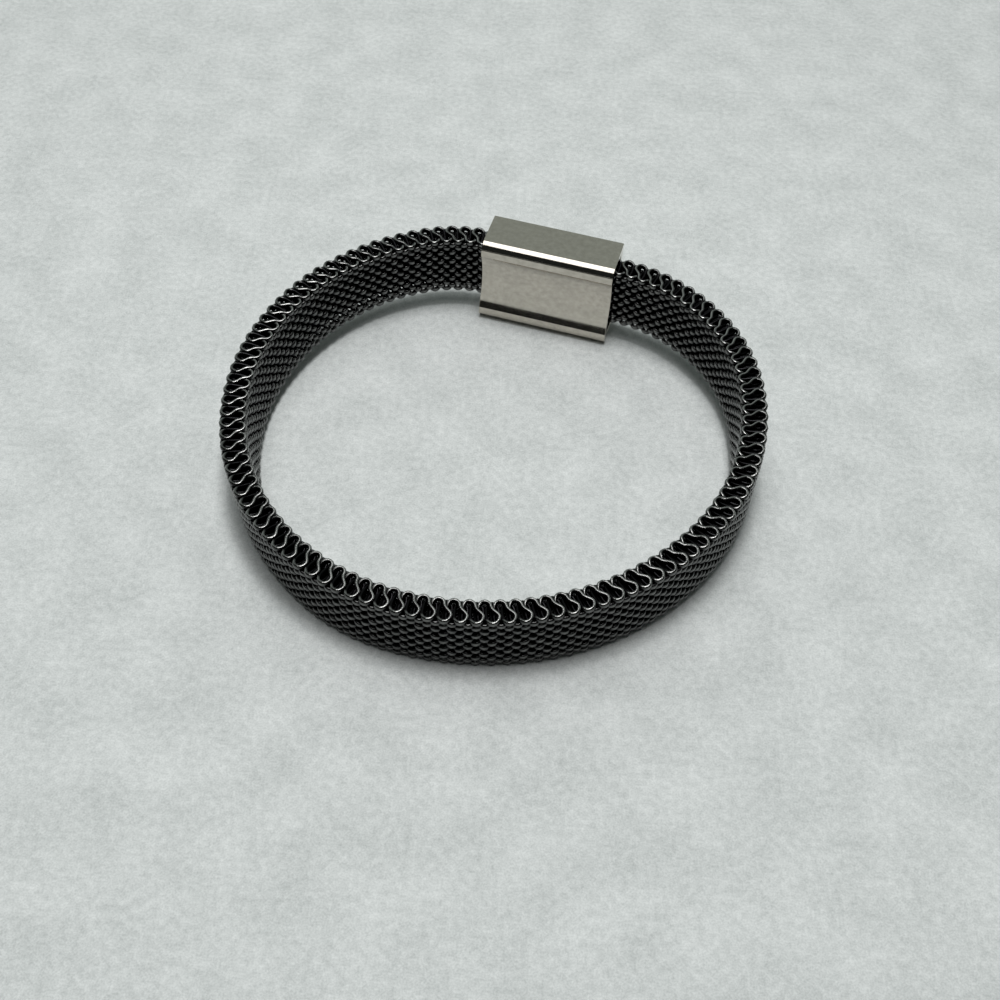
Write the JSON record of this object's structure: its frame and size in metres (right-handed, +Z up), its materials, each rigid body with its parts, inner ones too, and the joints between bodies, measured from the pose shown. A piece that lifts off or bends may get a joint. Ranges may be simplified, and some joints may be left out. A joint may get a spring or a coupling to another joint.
{
  "type": "mesh bracelet",
  "caption": "Closed wrist bracelet: a thick band of dark woven flat-wire coils, joined by a straight bright box clasp with a hollowed wrist side.",
  "frame": {"origin": "on the surface that the bracelet lies on, under the middle of its box", "axes": "+Z up, out of the loop; the clasp is at the back (+Y) and its long side is turned 13.2 degrees clockwise from +X, seen from above"},
  "size_m": [0.0728, 0.07, 0.0142],
  "materials": {
    "dark_mesh": "gunmetal grey flat wire, bright on its edges and dark between the coils",
    "satin_steel": "satin stainless steel, polished along its rounded long edges",
    "plain_magnet": "plain nickel-plated block, hidden in the clasp"
  },
  "bodies": {
    "root": {"mesh_band": "dark_mesh", "clasp_shell": "satin_steel", "magnet_block": "plain_magnet"}
  },
  "joints": []
}
